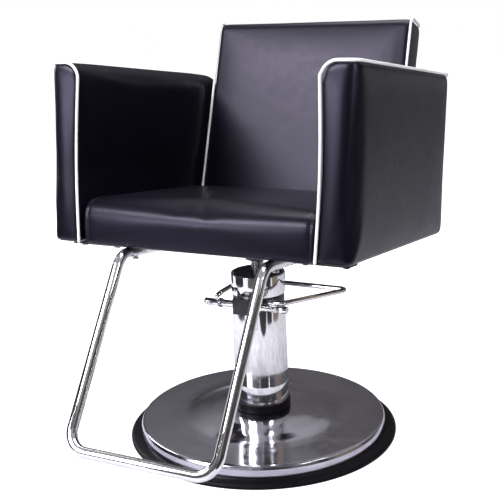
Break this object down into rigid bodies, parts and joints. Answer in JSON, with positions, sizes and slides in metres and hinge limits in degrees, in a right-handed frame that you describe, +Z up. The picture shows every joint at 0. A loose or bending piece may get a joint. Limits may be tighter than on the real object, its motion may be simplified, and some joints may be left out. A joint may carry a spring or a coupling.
{
  "type": "hydraulic styling chair",
  "caption": "Hydraulic salon styling chair with padded box arms, a leaning back, a bent tube footrest, a foot pump and a round weighted base.",
  "frame": {"origin": "the column's axis at the floor, on the underside of the floor plate", "axes": "+Z up along the column, -Y the way the sitter faces, +X towards the sitter's left"},
  "size_m": [0.676, 0.9372, 0.9081],
  "materials": {
    "chrome": "mirror polished chrome plate",
    "bare_steel": "machined and oiled steel",
    "fasteners": "zinc plated steel",
    "cast_iron": "cast iron under satin black enamel",
    "black_paint": "satin black powder coat on steel",
    "rubber": "smooth black rubber",
    "plastic": "matte black plastic",
    "wood": "unfinished plywood",
    "leather": "fine-grained black upholstery leather, satin",
    "piping": "white leather welt, satin"
  },
  "bodies": {
    "base": {"floor_plate": "bare_steel", "base_shell": "chrome", "base_trim_ring": "rubber", "pump_flange": "cast_iron", "flange_bolt_1": "fasteners", "flange_bolt_2": "fasteners", "flange_bolt_3": "fasteners", "flange_bolt_4": "fasteners", "column_collar": "rubber", "lower_sleeve": "chrome", "cone_cover": "chrome", "reservoir_tube": "bare_steel", "pump_cylinder": "bare_steel", "pump_cap": "chrome", "cap_insert": "plastic", "ram_gland": "cast_iron", "pump_head": "cast_iron", "plunger_spring": "bare_steel"},
    "ram": {"ram": "bare_steel", "ram_piston": "bare_steel"},
    "chair": {"swivel_hub": "cast_iron", "mount_plate": "black_paint", "mount_bolt_1": "fasteners", "mount_bolt_2": "fasteners", "mount_bolt_3": "fasteners", "mount_bolt_4": "fasteners", "seat_board": "wood", "seat_cushion": "leather", "footrest": "chrome", "footrest_bolt_1": "fasteners", "footrest_bolt_2": "fasteners", "footrest_bolt_3": "fasteners", "footrest_bolt_4": "fasteners", "footrest_plug_left": "plastic", "footrest_plug_right": "plastic", "arm_left": "leather", "arm_right": "leather", "arm_piping_left": "piping", "arm_piping_right": "piping", "arm_board_left": "wood", "arm_board_right": "wood", "arm_strap_left": "black_paint", "arm_strap_right": "black_paint", "strap_bolt_left": "fasteners", "strap_bolt_right": "fasteners", "arm_bolt_left": "fasteners", "arm_bolt_right": "fasteners", "back_cushion": "leather", "back_piping_left": "piping", "back_piping_right": "piping", "back_board": "wood", "back_bracket_left": "black_paint", "back_bracket_right": "black_paint"},
    "pedal": {"pedal_shaft": "chrome", "pedal_bolt_left": "fasteners", "pedal_bolt_right": "fasteners", "shaft_collar": "bare_steel", "cam_finger": "bare_steel", "pedal_loop": "chrome"},
    "plunger": {"pump_plunger": "bare_steel"}
  },
  "joints": [
    {"name": "ram_lift", "type": "slide", "parent": "base", "child": "ram", "axis": [0, 0, 1], "range_m": [0, 0.15]},
    {"name": "chair_swivel", "type": "hinge", "parent": "ram", "child": "chair", "pos_m": [0, 0, 0.414], "axis": [0, 0, 1], "continuous": true},
    {"name": "pedal_pump", "type": "hinge", "parent": "base", "child": "pedal", "pos_m": [0, -0.072, 0.316], "axis": [-1, 0, 0], "range_deg": [0, 16], "stiffness_Nm_per_rad": 3, "springref_deg": -28.65},
    {"name": "plunger_stroke", "type": "slide", "parent": "base", "child": "plunger", "axis": [0, 0, -1], "range_m": [0, 0.009], "deforming": ["plunger_spring"]}
  ],
  "couplings": [
    {"joint": "plunger_stroke", "follows": "pedal_pump", "m_per_rad": 0.032}
  ]
}
